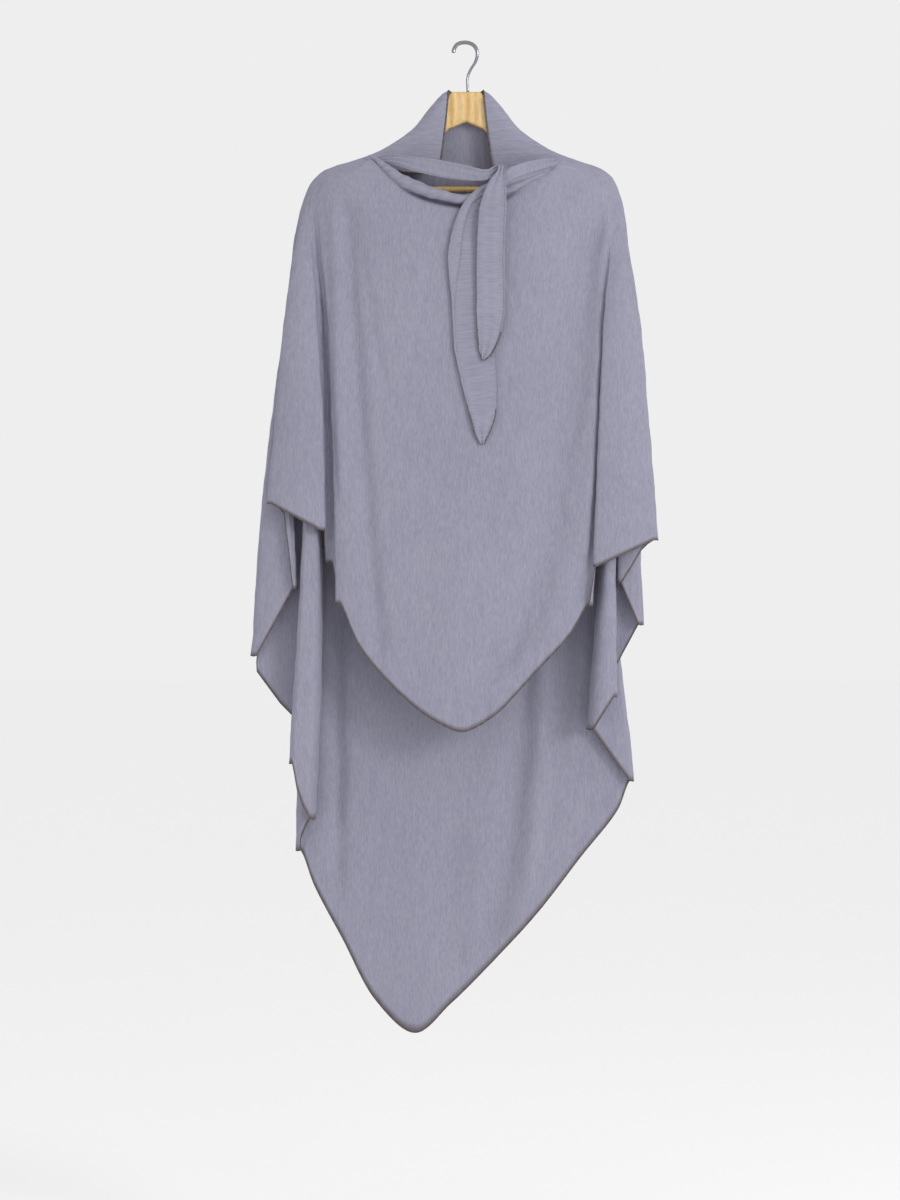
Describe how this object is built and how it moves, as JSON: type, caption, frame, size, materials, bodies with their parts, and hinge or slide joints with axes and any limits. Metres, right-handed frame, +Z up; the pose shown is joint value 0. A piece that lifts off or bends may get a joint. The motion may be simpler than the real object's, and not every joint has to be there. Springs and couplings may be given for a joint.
{
  "type": "khimar veil on a wooden clothes hanger",
  "caption": "Diamond cape veil with face opening, front flap panels, folded sides, long back point and knotted self ties, on a wooden hanger with wire hook.",
  "frame": {"origin": "inside of the hook's crown, where the hook bears on a rail", "axes": "+Z up, +Y towards the back of the veil, +X to the right seen from the front"},
  "size_m": [0.5879, 0.1104, 1.441],
  "materials": {
    "crepe": "matt crinkled crepe, grey lilac",
    "crepe_tie": "matt crinkled crepe, grey lilac, crinkle across",
    "lacquered_wood": "honey lacquer, satin",
    "bar_wood": "honey lacquer, satin",
    "hook_chrome": "polished"
  },
  "bodies": {
    "root": {"veil": "crepe", "tie_left": "crepe_tie", "tie_right": "crepe_tie", "hanger_arms": "lacquered_wood", "hanger_bar": "bar_wood", "hanger_hook": "hook_chrome"}
  },
  "joints": []
}
